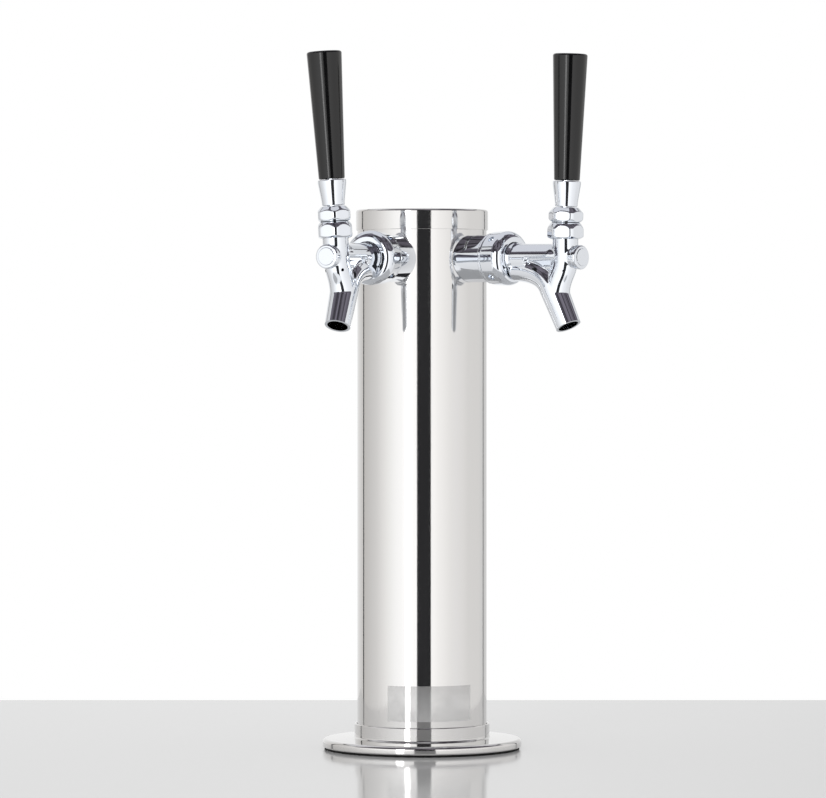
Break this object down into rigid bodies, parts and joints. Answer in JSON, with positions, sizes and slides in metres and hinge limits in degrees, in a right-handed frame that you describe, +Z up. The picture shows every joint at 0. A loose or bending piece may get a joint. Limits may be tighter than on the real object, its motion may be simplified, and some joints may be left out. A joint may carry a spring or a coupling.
{
  "type": "beer tower dispenser",
  "caption": "polished column beer tower on a round base flange, with lever taps on stand-off shanks and black tapered handles",
  "frame": {"origin": "centre of the bounding box in plan, on the underside of the base gasket", "axes": "+Z up along the column, -Y towards the person who pours, +X to that person's right"},
  "size_m": [0.1625, 0.158, 0.4047],
  "materials": {
    "polished_steel": "polished stainless steel, mirror bright",
    "chrome": "polished chrome plating on brass",
    "plain_steel": "machined stainless steel",
    "brass": "bare machined brass",
    "black_plastic": "gloss black moulded plastic",
    "rubber": "black rubber",
    "foam": "black closed-cell foam",
    "nylon": "natural nylon"
  },
  "bodies": {
    "tower": {"base_flange": "polished_steel", "base_gasket": "rubber", "column_tube": "polished_steel", "insulation_sleeve": "foam", "left_shank": "chrome", "left_saddle_washer": "nylon", "left_lock_nut": "plain_steel", "left_tail_washer": "rubber", "left_tail_nut": "brass", "left_tail_elbow": "plain_steel", "left_coupling_washer": "rubber", "left_snap_ring": "plain_steel", "left_coupling_nut": "chrome", "left_faucet_body": "chrome", "left_ball_washer": "nylon", "left_friction_washer": "nylon", "left_bonnet": "chrome", "right_shank": "chrome", "right_saddle_washer": "nylon", "right_lock_nut": "plain_steel", "right_tail_washer": "rubber", "right_tail_nut": "brass", "right_tail_elbow": "plain_steel", "right_coupling_washer": "rubber", "right_snap_ring": "plain_steel", "right_coupling_nut": "chrome", "right_faucet_body": "chrome", "right_ball_washer": "nylon", "right_friction_washer": "nylon", "right_bonnet": "chrome"},
    "top_cap": {"top_cap": "polished_steel"},
    "left_lever": {"left_lever": "chrome", "left_lever_collar": "chrome", "left_handle_ferrule": "chrome", "left_handle_grip": "black_plastic"},
    "left_valve": {"left_valve_shaft": "plain_steel", "left_seat_washer": "rubber", "left_shaft_nut": "plain_steel"},
    "right_lever": {"right_lever": "chrome", "right_lever_collar": "chrome", "right_handle_ferrule": "chrome", "right_handle_grip": "black_plastic"},
    "right_valve": {"right_valve_shaft": "plain_steel", "right_seat_washer": "rubber", "right_shaft_nut": "plain_steel"}
  },
  "joints": [
    {"name": "top_cap_lift", "type": "slide", "parent": "tower", "child": "top_cap", "axis": [0, 0, 1], "range_m": [0, 0.05]},
    {"name": "left_lever_pivot", "type": "hinge", "parent": "tower", "child": "left_lever", "pos_m": [-0.06482, -0.06507, 0.30028], "axis": [0.7902, -0.6107, 0.0506], "range_deg": [0, 22]},
    {"name": "left_valve_slide", "type": "slide", "parent": "tower", "child": "left_valve", "axis": [0.6115, 0.7912, 0], "range_m": [0, 0.005]},
    {"name": "right_lever_pivot", "type": "hinge", "parent": "tower", "child": "right_lever", "pos_m": [0.06899, -0.06545, 0.3003], "axis": [0.7912, 0.6115, 0], "range_deg": [0, 22]},
    {"name": "right_valve_slide", "type": "slide", "parent": "tower", "child": "right_valve", "axis": [-0.6115, 0.7912, 0], "range_m": [0, 0.005]}
  ],
  "couplings": [
    {"joint": "left_valve_slide", "follows": "left_lever_pivot", "m_per_rad": 0.012589},
    {"joint": "right_valve_slide", "follows": "right_lever_pivot", "m_per_rad": 0.012589}
  ]
}
